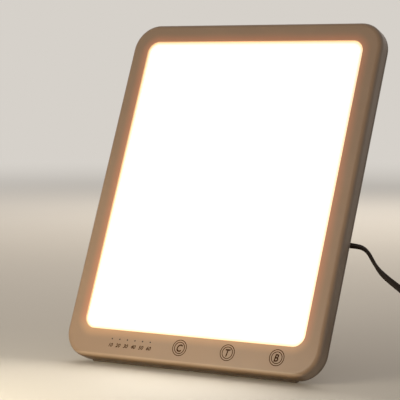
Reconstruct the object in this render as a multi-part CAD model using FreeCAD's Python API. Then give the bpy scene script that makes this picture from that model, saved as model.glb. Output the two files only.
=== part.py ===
import FreeCAD, Part
import math
import os

# A light therapy lamp: a flat glowing panel that leans back on its bottom edge and on a folding leg,
# fed by a low-voltage lead from a wall adapter.
#
# The panel and all that it carries are drawn in the panel's own frame: X across, Y backwards from
# the front face, Z up along the panel, with the origin at the middle of the front face's bottom
# edge. They are then leaned back and set on the table. In the finished frame X points right as the
# user sees the lamp, the lit face looks towards -Y, Z is up, and the origin is on the table under
# the middle of the lamp. All sizes are in millimetres and degrees.

os.makedirs("parts", exist_ok=True)

# ---- Panel -----------------------------------------------------------------------------------
window_width = 170.0
window_height = 209.0
window_corner = 8.0
side_border = 13.5
top_border = 13.5
bottom_border = 20.0
case_depth = 14.4
case_corner = 18.5
front_edge_round = 3.2
back_edge_round = 5.4
case_wall = 2.0
rib_root = 0.5            # how far posts and ribs sink into the wall that carries them
face_wall = 1.6
window_edge_round = 0.6
parting_depth = 8.4       # how far back the front frame's side walls reach
seam_gap = 0.2            # shadow gap between front frame and rear cover
tongue_wall = 1.0         # the rear cover's locating rim inside the frame
tongue_reach = 1.4        # how far that rim passes the seam
tongue_root = 2.0         # how far the rim's root climbs the rear cover's side wall
slip_fit = 0.15           # clearance between pieces that drop into each other
screw_fit = 0.02          # clearance between a screw or pressed pin and its hole
lean_angle = 22.7         # how far the panel leans back from upright

# ---- Light box: the layers behind the window, front to back ------------------------------------
gasket_thick = 0.4
diffuser_flange_thick = 1.6
diffuser_recess = 0.8     # how far the opal face sits behind the frame's face
guide_thick = 3.0
reflector_thick = 0.4
back_plate_thick = 1.0
layer_overlap = 2.0       # how far the layers reach behind the frame, past the window
led_chip_thick = 0.8
led_chip_width = 2.2
led_chip_length = 3.0
led_chip_count = 28
led_gap = 0.2             # air between the light guide's edge and the LED chips
led_bar_thick = 1.0
led_bar_inset = 0.2       # how far the bar stands in front of the light guide
led_tail = 3.6            # how far each LED bar passes the light guide at the bottom
rail_wall = 1.2
rail_flange = 9.0
rail_end_gap = 2.0
shelf_wall = 1.2          # the frame's rib that the light box stands on
shelf_half = 78.0

# ---- Screws and bosses ---------------------------------------------------------------------------
boss_radius = 2.8
side_boss_radius = 2.6
boss_top_drop = 6.5       # from the case's top edge to the top screws
boss_top_spread = 70.0
boss_bottom_rise = 9.2
boss_bottom_inset = 13.7  # from the case's side to the bottom screws
boss_side_inset = 4.4     # from the case's side to the side screws
boss_side_heights = (62.0, 122.0, 182.0)
screw_radius = 1.0
screw_head_radius = 1.9
screw_head_thick = 1.3
screw_head_sink = 0.9     # deep enough for the side screws, which sit where the back edge rounds
screw_bite = 5.0          # how far a cover screw enters the frame's boss
small_screw_radius = 0.8
small_head_radius = 1.8
small_head_thick = 0.9

# ---- Touch keys, timer dots and the control board -------------------------------------------------
key_drop = 8.2            # from the window down to the keys' centres
key_inset = 16.9          # from the window's right side to the last key's centre
key_pitch = 36.75
key_count = 3
touch_pad_radius = 4.0
dot_drop = 6.5            # from the window down to the timer dots
dot_inset = 25.3          # from the window's left side to the first dot
dot_pitch = 6.15
dot_count = 6
light_pipe_radius = 0.55
light_pipe_head_radius = 1.2
light_pipe_head_thick = 0.4
light_pipe_fit = 0.03
board_thick = 1.2
control_board_gap = 2.0   # air between the face wall and the control board
control_end_gap = 2.1     # from the bottom screws' bosses to the control board's ends
control_board_low = 4.2
control_board_high = 15.0
control_screw_inset = 2.5
control_connector_tall = 6.8
control_screw_up = 9.4
control_post_radius = 1.7
indicator_led_size = 1.8
indicator_led_thick = 0.8

# ---- Driver board and jack, in the hollow behind the light box -------------------------------------
board_gap = 1.4           # from the back plate to the driver board
driver_left = 22.0
driver_right = 47.0
driver_drop = 20.3        # from the jack's axis down to the driver board's lower edge
driver_rise = 25.7
driver_post_radius = 2.2
driver_post_inset = 3.5
driver_post_beside = 4.0  # from the jack housing's side to the nearest posts
driver_post_rise = 16.0   # from the driver board's lower edge to the lower posts
chip_half = 4.5
chip_left = -6.0
chip_right = 8.0
chip_rise = 9.7           # from the jack's axis up to the upper chips
chip_drop = 5.3
ribbon_x = -12.0
ribbon_width = 6.0
ribbon_thick = 0.5
connector_height = 1.3
wire_radius = 0.6
wire_rise = 2.4           # from the driver board's lower edge up to the LED wires' run
wire_connector_long = 6.0
wire_connector_half = 2.0
wire_turn_in = 9.1        # from the case's side to the LED wires' run down
wire_drop = 3.0           # from the LED bars' tails down to the wires' run forward
capacitor_radius = 4.0
capacitor_length = 10.5
clamp_rib_x = 60.0
clamp_rib_wall = 1.6
clamp_rib_low = 30.0
clamp_rib_high = 205.0
clamp_rib_clear = 6.0     # from the LED wires' run to the ribs' ends

jack_up = 94.3
jack_stand_off = 5.6      # from the cover's back face to the jack's axis
jack_half_height = 4.4
jack_half_width = 4.5
jack_length = 14.2
jack_bore_radius = 2.85
jack_bore_depth = 10.0
jack_pin_radius = 1.0
jack_pin_length = 8.5
jack_window_radius = 3.6  # hole in the jack housing's end wall
jack_tail_pitch = 2.5
jack_tail_thick = 1.0
jack_tail_half = 0.8
riser_inset = 2.2
riser_half_width = 4.0
pod_inner_x = 31.0
pod_outer_x = 50.0
pod_half_height = 18.0
pod_corner = 4.0
pod_top_round = 2.0

# ---- Vents ---------------------------------------------------------------------------------------
vent_width = 2.2
vent_length = 22.0
vent_pitch = 6.4
vent_count = 11
vent_up = 206.0

# ---- Feet, hinge and stand --------------------------------------------------------------------------
foot_spread = 40.4
foot_length = 78.2
foot_width = 3.6
foot_height = 4.0
foot_round = 1.0
foot_block_up = 7.0       # height of the rear cover's blocks that hold the feet
foot_proud = 1.2          # how far the feet hold the case off the table
foot_setback = 9.8        # from the front face's bottom edge back to the feet
foot_fit = 0.1
hinge_up = 150.0
hinge_clear = 0.35        # between the leg's barrel and the rear cover
barrel_radius = 3.4
hinge_pin_radius = 1.5
hinge_fit = 0.05
ear_gap = 0.3
ear_wall = 4.0
ear_radius = 4.6
ear_flare = 1.6           # how much wider the ears' feet are than their round ends, each way
neck_half = 10.2
neck_length = 9.5
shoulder_half = 15.0
leg_tip_half = 29.0
leg_thick = 6.0
leg_clear = 0.5           # between the folded leg and the rear cover
leg_corner = 6.0
leg_wall = 2.2
leg_pocket_depth = 3.6
leg_rib_count = 3
leg_splay = 15.0          # angle of the opened leg from upright
heel_length = 6.0
stop_gap = 0.2            # between the leg's heel and the cover when it is open
pad_height = 9.0
pad_lip = 0.6
pad_tongue_half = 20.0
pad_tongue_length = 4.0
pad_tongue_thick = 2.4

# ---- Plug, lead and wall adapter ------------------------------------------------------------------
plug_gap = 0.3
plug_length = 23.5
plug_radius = 5.0
plug_tail_radius = 4.3
plug_edge_round = 0.8
plug_groove_count = 5
plug_groove_width = 1.0
plug_groove_radius = 3.8
barrel_plug_radius = 2.75
barrel_plug_bore = 1.1
barrel_plug_length = 9.5
barrel_plug_root = 2.0    # how far the metal barrel reaches into the plug's body
relief_length = 15.0
relief_start_radius = 3.5
relief_end_radius = 2.7
relief_groove_count = 4
relief_skin = 0.2         # what the grooves leave of the sleeve over the lead
cord_radius = 2.3
first_run = 9.8           # straight out of the strain relief
adapter_length = 58.0
adapter_width = 36.0
adapter_height = 28.0
adapter_split = 18.0      # from the blades' end to the seam between its two shells
adapter_wall = 2.2
adapter_round = 4.0
adapter_relief_up = 9.0
adapter_board_up = 18.5
adapter_board_in = 3.0    # from the adapter's end wall to the board's near edge
transformer_half = 9.0
transformer_height = 13.0
blade_height = 6.3
blade_thick = 1.5
blade_length = 17.0
blade_pitch = 12.7
blade_root = 3.0          # from the adapter's end wall to the blades' inner ends
adapter_beside = 44.3     # from the cord's exit right to the adapter's blade end
adapter_behind = 61.4     # from the cord's exit back to the adapter's near side
coil_beside = 116.0       # from the cord's exit right to the coil's middle
coil_behind = 27.0
coil_radius = 25.0        # middle of the coil's turns
coil_rows = 3             # turns side by side and on each other
tie_wall = 0.6
tie_width = 6.0

# ---- Worked out from the sizes above ---------------------------------------------------------------
lean = math.radians(lean_angle)
splay = math.radians(leg_splay)
case_half = window_width / 2 + side_border
case_height = bottom_border + window_height + top_border
window_top = bottom_border + window_height
gasket_front = face_wall
diffuser_front = gasket_front + gasket_thick
guide_front = diffuser_front + diffuser_flange_thick
reflector_front = guide_front + guide_thick
plate_front = reflector_front + reflector_thick
plate_back = plate_front + back_plate_thick
layer_half = window_width / 2 + layer_overlap
layer_low = bottom_border - layer_overlap
layer_high = window_top + layer_overlap
chip_inner = layer_half + led_gap
bar_inner = chip_inner + led_chip_thick
rail_inner = bar_inner + led_bar_thick
rail_outer = rail_inner + rail_wall
cover_inner = case_depth - case_wall
board_front = plate_back + board_gap
board_back = board_front + board_thick
control_front = face_wall + control_board_gap
control_back = control_front + board_thick
jack_depth = case_depth + jack_stand_off
pod_back = jack_depth + jack_half_height + case_wall
jack_end = pod_outer_x - case_wall
hinge_depth = case_depth + hinge_clear + barrel_radius
ear_inner = neck_half + ear_gap
ear_outer = ear_inner + ear_wall
driver_low = jack_up - driver_drop
driver_high = jack_up + driver_rise
wire_up = driver_low + wire_rise
control_half = case_half - boss_bottom_inset - boss_radius - control_end_gap
ribbon_up = control_board_high - control_connector_tall / 2
key_up = bottom_border - key_drop
dot_up = bottom_border - dot_drop

ACROSS = FreeCAD.Vector(1, 0, 0)
BACK = FreeCAD.Vector(0, 1, 0)
UP = FreeCAD.Vector(0, 0, 1)
SIDES = (-1, 1)


# ---- Small tools -----------------------------------------------------------------------------------
def point(x, y, z):
    return FreeCAD.Vector(x, y, z)


def block(x_low, x_high, y_low, y_high, z_low, z_high):
    """A box between two corners."""
    corner = point(x_low, y_low, z_low)
    return Part.makeBox(x_high - x_low, y_high - y_low, z_high - z_low, corner)


def mirrored_block(side, x_inner, x_outer, y_low, y_high, z_low, z_high):
    """A box on the left (side -1) or right (side 1), given by its distances from the middle."""
    ends = sorted((side * x_inner, side * x_outer))
    return block(ends[0], ends[1], y_low, y_high, z_low, z_high)


def rod(x, y, z, axis, radius, length):
    return Part.makeCylinder(radius, length, point(x, y, z), axis)


def slab(half, z_low, z_high, y_low, y_high, corner):
    """A plate across the panel with rounded corners, as seen from the front."""
    low = point(-half, y_low, z_low)
    high = point(half, y_low, z_high)
    turn = corner * math.sqrt(0.5)
    centres = (
        (low.x + corner, low.z + corner, -1, -1),
        (high.x - corner, low.z + corner, 1, -1),
        (high.x - corner, high.z - corner, 1, 1),
        (low.x + corner, high.z - corner, -1, 1),
    )
    edges = []
    starts = []
    for x, z, side, way in centres:
        beside = point(x + side * corner, y_low, z)
        middle = point(x + side * turn, y_low, z + way * turn)
        beyond = point(x, y_low, z + way * corner)
        first, last = (beside, beyond) if side * way > 0 else (beyond, beside)
        edges.append(Part.Arc(first, middle, last).toShape())
        starts.append((first, last))
    for index, ends in enumerate(starts):
        following = starts[(index + 1) % len(starts)]
        edges.append(Part.LineSegment(ends[1], following[0]).toShape())
    outline = Part.Wire(Part.__sortEdges__(edges))
    return Part.Face(outline).extrude(BACK * (y_high - y_low))


def outline_slab(points, x_low, x_high):
    """A prism across the panel from an outline of (depth, height) points."""
    corners = [point(x_low, y, z) for y, z in points]
    face = Part.Face(Part.makePolygon(corners + corners[:1]))
    return face.extrude(ACROSS * (x_high - x_low))


def edges_at(shape, axis, value):
    """The edges that lie wholly in one plane across the given axis ("x", "y" or "z")."""
    found = []
    for edge in shape.Edges:
        places = [getattr(vertex.Point, axis) for vertex in edge.Vertexes]
        if all(abs(place - value) < 1e-4 for place in places):
            found.append(edge)
    return found


def round_edges(shape, axis, value, radius):
    return shape.makeFillet(radius, edges_at(shape, axis, value))


def corner_edges(shape, axis):
    """The straight edges that run along one axis."""
    found = []
    for edge in shape.Edges:
        if edge.Curve.TypeId != "Part::GeomLine":
            continue
        ends = [vertex.Point for vertex in edge.Vertexes]
        run = ends[1] - ends[0]
        if abs(abs(getattr(run, axis)) - run.Length) < 1e-6:
            found.append(edge)
    return found


def joined(shapes):
    first = shapes[0]
    if len(shapes) == 1:
        return first
    return first.fuse(shapes[1:]).removeSplitter()


def group(shapes):
    return Part.makeCompound(shapes)


# ---- Front frame --------------------------------------------------------------------------------------
def screw_places():
    """The rear cover's screws: x, z and boss radius of each."""
    places = []
    top = case_height - boss_top_drop
    for x in (-boss_top_spread, 0.0, boss_top_spread):
        places.append((x, top, boss_radius))
    for side in SIDES:
        places.append((side * (case_half - boss_bottom_inset), boss_bottom_rise, boss_radius))
        for height in boss_side_heights:
            places.append((side * (case_half - boss_side_inset), height, side_boss_radius))
    return places


def dot_places():
    first = dot_inset - window_width / 2
    return [(first + index * dot_pitch, dot_up) for index in range(dot_count)]


def key_places():
    last = window_width / 2 - key_inset
    return [last - index * key_pitch for index in range(key_count)]


def control_screw_places():
    end = control_half - control_screw_inset
    keys = key_places()
    return [-end, (keys[1] + keys[2]) / 2, end]


def driver_post_places():
    places = []
    for x in (driver_post_inset - driver_left, pod_inner_x - driver_post_beside):
        for z in (driver_low + driver_post_rise, driver_high - driver_post_inset):
            places.append((x, z))
    return places


def front_frame():
    shell = slab(case_half, 0, case_height, 0, parting_depth, case_corner)
    shell = round_edges(shell, "y", 0, front_edge_round)
    hollow = slab(
        case_half - case_wall, case_wall, case_height - case_wall,
        face_wall, parting_depth, case_corner - case_wall,
    )
    window = slab(window_width / 2, bottom_border, window_top, 0, face_wall, window_corner)
    frame = shell.cut(hollow).cut(window)
    rim = [
        edge for edge in edges_at(frame, "y", 0)
        if abs(edge.BoundBox.Center.x) < window_width / 2 + 1
        and bottom_border - 1 < edge.BoundBox.Center.z < window_top + 1
        and edge.BoundBox.XMax <= window_width / 2 + 1e-3
        and edge.BoundBox.ZMin >= bottom_border - 1e-3
    ]
    frame = frame.makeFillet(window_edge_round, rim)
    shelf = block(-shelf_half, shelf_half, face_wall, plate_back, layer_low - shelf_wall, layer_low)
    additions = [shelf]
    for x, z, radius in screw_places():
        additions.append(rod(x, face_wall, z, BACK, radius, parting_depth - face_wall))
    for x in control_screw_places():
        post = rod(x, face_wall, control_screw_up, BACK, control_post_radius, control_board_gap)
        additions.append(post)
    frame = joined([frame] + additions)
    hole_radius = screw_radius + screw_fit
    for x, z, radius in screw_places():
        frame = frame.cut(rod(x, parting_depth - screw_bite, z, BACK, hole_radius, screw_bite))
    small_hole = small_screw_radius + screw_fit
    for x in control_screw_places():
        depth = control_board_gap + face_wall / 2
        frame = frame.cut(rod(x, control_front - depth, control_screw_up, BACK, small_hole, depth))
    for x, z in dot_places():
        frame = frame.cut(rod(x, 0, z, BACK, light_pipe_radius + light_pipe_fit, face_wall))
    return frame


# ---- Light box -----------------------------------------------------------------------------------------
def layer(y_low, y_high, inset):
    return block(
        -layer_half + inset, layer_half - inset, y_low, y_high, layer_low, layer_high - inset,
    )


def gasket():
    strip = layer(gasket_front, diffuser_front, 0)
    opening = slab(
        window_width / 2 + slip_fit, bottom_border - slip_fit, window_top + slip_fit,
        gasket_front, diffuser_front, window_corner,
    )
    return strip.cut(opening)


def diffuser_plate():
    flange = layer(diffuser_front, guide_front, 0)
    raised = slab(
        window_width / 2 - slip_fit, bottom_border + slip_fit, window_top - slip_fit,
        diffuser_recess, diffuser_front, window_corner - slip_fit,
    )
    return joined([flange, raised])


def led_bar(side):
    front = guide_front - led_bar_inset
    low = layer_low - led_tail
    return mirrored_block(side, bar_inner, rail_inner, front, plate_front, low, layer_high)


def led_chips(side):
    first = layer_low + led_chip_length
    last = layer_high - led_chip_length
    pitch = (last - first) / (led_chip_count - 1)
    middle = guide_front + guide_thick / 2
    chips = []
    for index in range(led_chip_count):
        height = first + index * pitch
        chips.append(mirrored_block(
            side, chip_inner, bar_inner, middle - led_chip_width / 2, middle + led_chip_width / 2,
            height - led_chip_length / 2, height + led_chip_length / 2,
        ))
    return group(chips)


def heat_rail(side):
    low = layer_low + rail_end_gap
    high = layer_high - rail_end_gap
    flange_back = plate_back + back_plate_thick
    web = mirrored_block(side, rail_inner, rail_outer, face_wall, flange_back, low, high)
    flange = mirrored_block(
        side, rail_outer - rail_flange, rail_outer, plate_back, flange_back, low, high,
    )
    return joined([web, flange])


def back_plate():
    half = rail_inner - slip_fit
    return block(-half, half, plate_front, plate_back, layer_low, layer_high)


# ---- Controls behind the bottom border -------------------------------------------------------------------
def control_board():
    board = block(
        -control_half, control_half, control_front, control_back,
        control_board_low, control_board_high,
    )
    for x in control_screw_places():
        hole = small_screw_radius + slip_fit
        board = board.cut(rod(x, control_front, control_screw_up, BACK, hole, board_thick))
    return board


def touch_pads():
    board_area = block(
        -control_half, control_half, face_wall, control_front, control_board_low, control_board_high,
    )
    pads = []
    for x in key_places():
        pad = rod(x, face_wall, key_up, BACK, touch_pad_radius, control_board_gap)
        pads.append(pad.common(board_area))
    return group(pads)


def indicator_leds():
    leds = []
    half = indicator_led_size / 2
    for x, z in dot_places():
        front = control_front - indicator_led_thick
        leds.append(block(x - half, x + half, front, control_front, z - half, z + half))
    return group(leds)


def light_pipes():
    pipes = []
    for x, z in dot_places():
        stem = rod(x, 0, z, BACK, light_pipe_radius, face_wall)
        head = rod(x, face_wall, z, BACK, light_pipe_head_radius, light_pipe_head_thick)
        stub_back = control_front - indicator_led_thick
        stub = rod(x, face_wall, z, BACK, light_pipe_radius, stub_back - face_wall)
        pipes.append(joined([stem, head, stub]))
    return group(pipes)


def control_connector():
    half = ribbon_width / 2 + 1
    return block(
        ribbon_x - half, ribbon_x + half, control_back, control_back + connector_height,
        control_board_high - control_connector_tall, control_board_high,
    )


def small_screw(x, z, head_front, shank_length):
    """A board screw whose head is at the front and whose shank points backwards."""
    head = rod(x, head_front, z, BACK, small_head_radius, small_head_thick)
    shank = rod(x, head_front, z, BACK, small_screw_radius, small_head_thick + shank_length)
    return joined([head, shank])


def control_screws():
    """Driven from behind through the control board into the frame's posts."""
    screws = []
    for x in control_screw_places():
        head = rod(x, control_back, control_screw_up, BACK, small_head_radius, small_head_thick)
        reach = board_thick + control_board_gap
        shank = rod(
            x, control_back - reach, control_screw_up, BACK, small_screw_radius,
            reach + small_head_thick,
        )
        screws.append(joined([head, shank]))
    return group(screws)


def ribbon():
    """From the control board's connector back, then up to the driver board's connector."""
    start = control_back + connector_height
    back = cover_inner - ribbon_thick
    top = driver_low - connector_height
    points = (
        (start, ribbon_up), (back, ribbon_up), (back, top),
        (back - ribbon_thick, top), (back - ribbon_thick, ribbon_up + ribbon_thick),
        (start, ribbon_up + ribbon_thick),
    )
    return outline_slab(points, ribbon_x - ribbon_width / 2, ribbon_x + ribbon_width / 2)


# ---- Driver board and jack ---------------------------------------------------------------------------------
def driver_board():
    board = block(-driver_left, driver_right, board_front, board_back, driver_low, driver_high)
    for x, z in driver_post_places():
        board = board.cut(rod(x, board_front, z, BACK, small_screw_radius + slip_fit, board_thick))
    return board


def driver_screws():
    screws = []
    for x, z in driver_post_places():
        bite = cover_inner - board_back
        screws.append(small_screw(x, z, board_front - small_head_thick, board_thick + bite))
    return group(screws)


def driver_chips():
    """Flat chips and coils on the driver board's rear face."""
    chips = []
    for x in (chip_left, chip_right):
        for z in (jack_up - chip_drop, jack_up + chip_rise):
            chips.append(block(
                x - chip_half, x + chip_half, board_back, board_back + connector_height,
                z - chip_half, z + chip_half,
            ))
    return group(chips)


def capacitors():
    cans = []
    inside = pod_half_height - case_wall
    for way in SIDES:
        height = jack_up + way * (inside - capacitor_radius - 1)
        middle = (pod_inner_x + pod_outer_x) / 2
        cans.append(rod(middle, board_back, height, BACK, capacitor_radius, capacitor_length))
    return group(cans)


def board_connectors():
    """Two for the LED wires at the board's lower corners, one for the ribbon."""
    back = board_back + connector_height
    half = ribbon_width / 2 + 1
    connectors = [block(
        ribbon_x - half, ribbon_x + half, board_back, back,
        driver_low - connector_height, driver_low + connector_height * 2,
    )]
    for left in (-driver_left, driver_right - wire_connector_long):
        connectors.append(block(
            left, left + wire_connector_long, board_back, back,
            wire_up - wire_connector_half, wire_up + wire_connector_half,
        ))
    return group(connectors)


def led_wires():
    """From the driver board's corners out along the cover, down, and forward to each LED bar's tail."""
    depth = board_back + wire_radius
    tail_depth = (guide_front + plate_front) / 2
    low = layer_low - led_tail - wire_drop
    wires = []
    for side, start in ((-1, driver_left), (1, driver_right)):
        run = case_half - wire_turn_in
        route = [
            (side * start, depth, wire_up), (side * run, depth, wire_up),
            (side * run, depth, low), (side * run, tail_depth, low),
            (side * run, tail_depth, layer_low - led_tail),
        ]
        wires.append(tube([point(*place) for place in route], wire_radius, wire_radius * 2)[0])
    return group(wires)


def jack_body():
    body = block(
        jack_end - jack_length, jack_end, jack_depth - jack_half_height,
        jack_depth + jack_half_height, jack_up - jack_half_width, jack_up + jack_half_width,
    )
    return body.cut(rod(jack_end, jack_depth, jack_up, -ACROSS, jack_bore_radius, jack_bore_depth))


def jack_pin():
    start = jack_end - jack_bore_depth
    return rod(start, jack_depth, jack_up, ACROSS, jack_pin_radius, jack_pin_length)


def jack_tails():
    tails = []
    left = jack_end - jack_length
    for way in (-1, 0, 1):
        height = jack_up + way * jack_tail_pitch
        tails.append(block(
            left + jack_tail_thick / 2, left + jack_tail_thick * 1.5, board_back,
            jack_depth - jack_half_height, height - jack_tail_half, height + jack_tail_half,
        ))
    return group(tails)


def jack_riser():
    left = jack_end - jack_length + riser_inset
    return block(
        left, jack_end - riser_inset, board_back, jack_depth - jack_half_height,
        jack_up - riser_half_width, jack_up + riser_half_width,
    )


# ---- Rear cover --------------------------------------------------------------------------------------------
def pod(x_inner, x_outer, y_low, y_high, half_height, corner):
    """The raised housing around the jack."""
    shape = block(x_inner, x_outer, y_low, y_high, jack_up - half_height, jack_up + half_height)
    return shape.makeFillet(corner, corner_edges(shape, "y"))


def hinge_ear(side):
    """One ear: a round end about the pin on a foot that widens into the cover."""
    low = cover_inner + case_wall / 2
    flare = ear_radius + ear_flare
    tip = ear_radius / 2
    base = outline_slab(
        ((low, hinge_up - flare), (hinge_depth, hinge_up - ear_radius),
         (hinge_depth + tip, hinge_up), (hinge_depth, hinge_up + ear_radius), (low, hinge_up + flare)),
        min(side * ear_inner, side * ear_outer), max(side * ear_inner, side * ear_outer),
    )
    start = min(side * ear_inner, side * ear_outer)
    return joined([base, rod(start, hinge_depth, hinge_up, ACROSS, ear_radius, ear_wall)])


def foot_pocket(side, fit):
    """The space of one foot on the table, in the leaned frame, before the lamp is lifted onto it."""
    low = case_drop() - foot_proud
    middle = side * foot_spread
    return block(
        middle - foot_length / 2 - fit, middle + foot_length / 2 + fit,
        foot_setback - fit, foot_setback + foot_width + fit, low, low + foot_height + fit,
    )


def case_drop():
    """Height of the leaned case's lowest line, measured from its front face's bottom edge."""
    centre = back_edge_round * math.cos(lean) - (case_depth - back_edge_round) * math.sin(lean)
    return centre - back_edge_round


def leaned(shape):
    turned = shape.copy()
    turned.rotate(point(0, 0, 0), ACROSS, -lean_angle)
    return turned


def unleaned(shape):
    turned = shape.copy()
    turned.rotate(point(0, 0, 0), ACROSS, lean_angle)
    return turned


def rubber_feet():
    """Two long strips with flat soles, drawn as they lie on the table."""
    feet = []
    for side in SIDES:
        foot = foot_pocket(side, 0)
        foot = foot.makeFillet(foot_round, edges_at(foot, "z", foot.BoundBox.ZMin))
        feet.append(unleaned(foot))
    return group(feet)


def frame_like(inset, y_low, y_high):
    """A plate with the case's outline, made smaller all round by the inset."""
    return slab(case_half - inset, inset, case_height - inset, y_low, y_high, case_corner - inset)


def cover_rim():
    """The rim that locates the rear cover inside the front frame, rooted in the cover's side wall."""
    seam = parting_depth + seam_gap
    tip = parting_depth - tongue_reach
    outside = case_wall + slip_fit
    root = frame_like(case_wall / 2, seam, seam + tongue_root)
    rim = root.fuse(frame_like(outside, tip, seam))
    rim = rim.cut(frame_like(outside + tongue_wall, tip, seam + tongue_root))
    for x, z, radius in screw_places():
        rim = rim.cut(rod(x, tip, z, BACK, radius + slip_fit, tongue_reach))
    return rim


def rear_cover():
    seam = parting_depth + seam_gap
    shell = slab(case_half, 0, case_height, seam, case_depth, case_corner)
    shell = round_edges(shell, "y", case_depth, back_edge_round)
    hollow = slab(
        case_half - case_wall, case_wall, case_height - case_wall,
        seam, cover_inner, case_corner - case_wall,
    )
    hollow = round_edges(hollow, "y", cover_inner, back_edge_round - case_wall)
    cover = shell.cut(hollow)
    outside = pod(pod_inner_x, pod_outer_x, cover_inner, pod_back, pod_half_height, pod_corner)
    outside = round_edges(outside, "y", pod_back, pod_top_round)
    inside = pod(
        pod_inner_x + case_wall, jack_end, seam, pod_back - case_wall,
        pod_half_height - case_wall, pod_corner - case_wall,
    )
    cover = cover.fuse(outside).cut(inside)

    root = cover_inner + rib_root
    bulk = round_edges(frame_like(0, 0, case_depth), "y", case_depth, back_edge_round)
    additions = [cover_rim()]
    for x, z, radius in screw_places():
        boss = rod(x, parting_depth, z, BACK, radius, root - parting_depth)
        additions.append(boss.common(bulk))
    for x, z in driver_post_places():
        additions.append(rod(x, board_back, z, BACK, driver_post_radius, root - board_back))
    for side in SIDES:
        spans = (clamp_rib_low, wire_up - clamp_rib_clear), (wire_up + clamp_rib_clear, clamp_rib_high)
        for low, high in spans:
            additions.append(mirrored_block(
                side, clamp_rib_x, clamp_rib_x + clamp_rib_wall, plate_back, root, low, high,
            ))
        half = foot_length / 2 + case_wall
        middle = side * foot_spread
        holder = block(middle - half, middle + half, seam, root, case_wall / 2, foot_block_up)
        additions.append(holder.common(bulk))
        additions.append(hinge_ear(side))
    cover = joined([cover] + additions)

    hole_radius = screw_radius + screw_fit
    for x, z, radius in screw_places():
        seat = case_depth - screw_head_sink - screw_head_thick
        cover = cover.cut(rod(x, parting_depth, z, BACK, hole_radius, case_depth - parting_depth))
        sink = rod(x, seat, z, BACK, screw_head_radius + slip_fit, case_depth - seat)
        cover = cover.cut(sink)
    for x, z in driver_post_places():
        reach = cover_inner - board_back
        cover = cover.cut(rod(x, board_back, z, BACK, small_screw_radius + screw_fit, reach))
    cover = cover.cut(rod(
        jack_end, jack_depth, jack_up, ACROSS, jack_window_radius, pod_outer_x - jack_end,
    ))
    pin_hole = hinge_pin_radius + screw_fit
    cover = cover.cut(rod(-ear_outer, hinge_depth, hinge_up, ACROSS, pin_hole, 2 * ear_outer))
    first = -(vent_count - 1) / 2 * vent_pitch
    for index in range(vent_count):
        middle = first + index * vent_pitch
        slot = block(
            middle - vent_width / 2, middle + vent_width / 2, cover_inner, case_depth,
            vent_up - vent_length / 2, vent_up + vent_length / 2,
        )
        slot = slot.makeFillet(vent_width * 0.45, corner_edges(slot, "y"))
        cover = cover.cut(slot)
    for side in SIDES:
        cover = cover.cut(unleaned(foot_pocket(side, foot_fit)))
    return cover


def cover_screws():
    screws = []
    for x, z, radius in screw_places():
        seat = case_depth - screw_head_sink - screw_head_thick
        head = rod(x, seat, z, BACK, screw_head_radius, screw_head_thick)
        tip = parting_depth - screw_bite + 1
        shank = rod(x, tip, z, BACK, screw_radius, seat + screw_head_thick - tip)
        screws.append(joined([head, shank]))
    return group(screws)


# ---- Stand leg ---------------------------------------------------------------------------------------------
def lift():
    """How far the leaned lamp is raised to stand on its feet."""
    return foot_proud - case_drop()


def hinge_height():
    return hinge_up * math.cos(lean) - hinge_depth * math.sin(lean) + lift()


def leg_reach():
    """From the hinge axis down the middle of the opened leg to the table."""
    return hinge_height() / math.cos(splay)


def opened(shape):
    """Turns a shape on the folded leg to where the opened leg holds it."""
    turned = shape.copy()
    turned.rotate(point(0, hinge_depth, hinge_up), ACROSS, lean_angle + leg_splay)
    return turned


def leg_outline(half_top, half_tip, s_top, s_tip, y_low, y_high, corner):
    """A tapering plate below the hinge, in the folded position."""
    top = hinge_up - s_top
    tip = hinge_up - s_tip
    corners = [
        point(-half_top, y_low, top), point(half_top, y_low, top),
        point(half_tip, y_low, tip), point(-half_tip, y_low, tip),
    ]
    plate = Part.Face(Part.makePolygon(corners + corners[:1])).extrude(BACK * (y_high - y_low))
    if corner > 0:
        plate = plate.makeFillet(corner, corner_edges(plate, "y"))
    return plate


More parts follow.
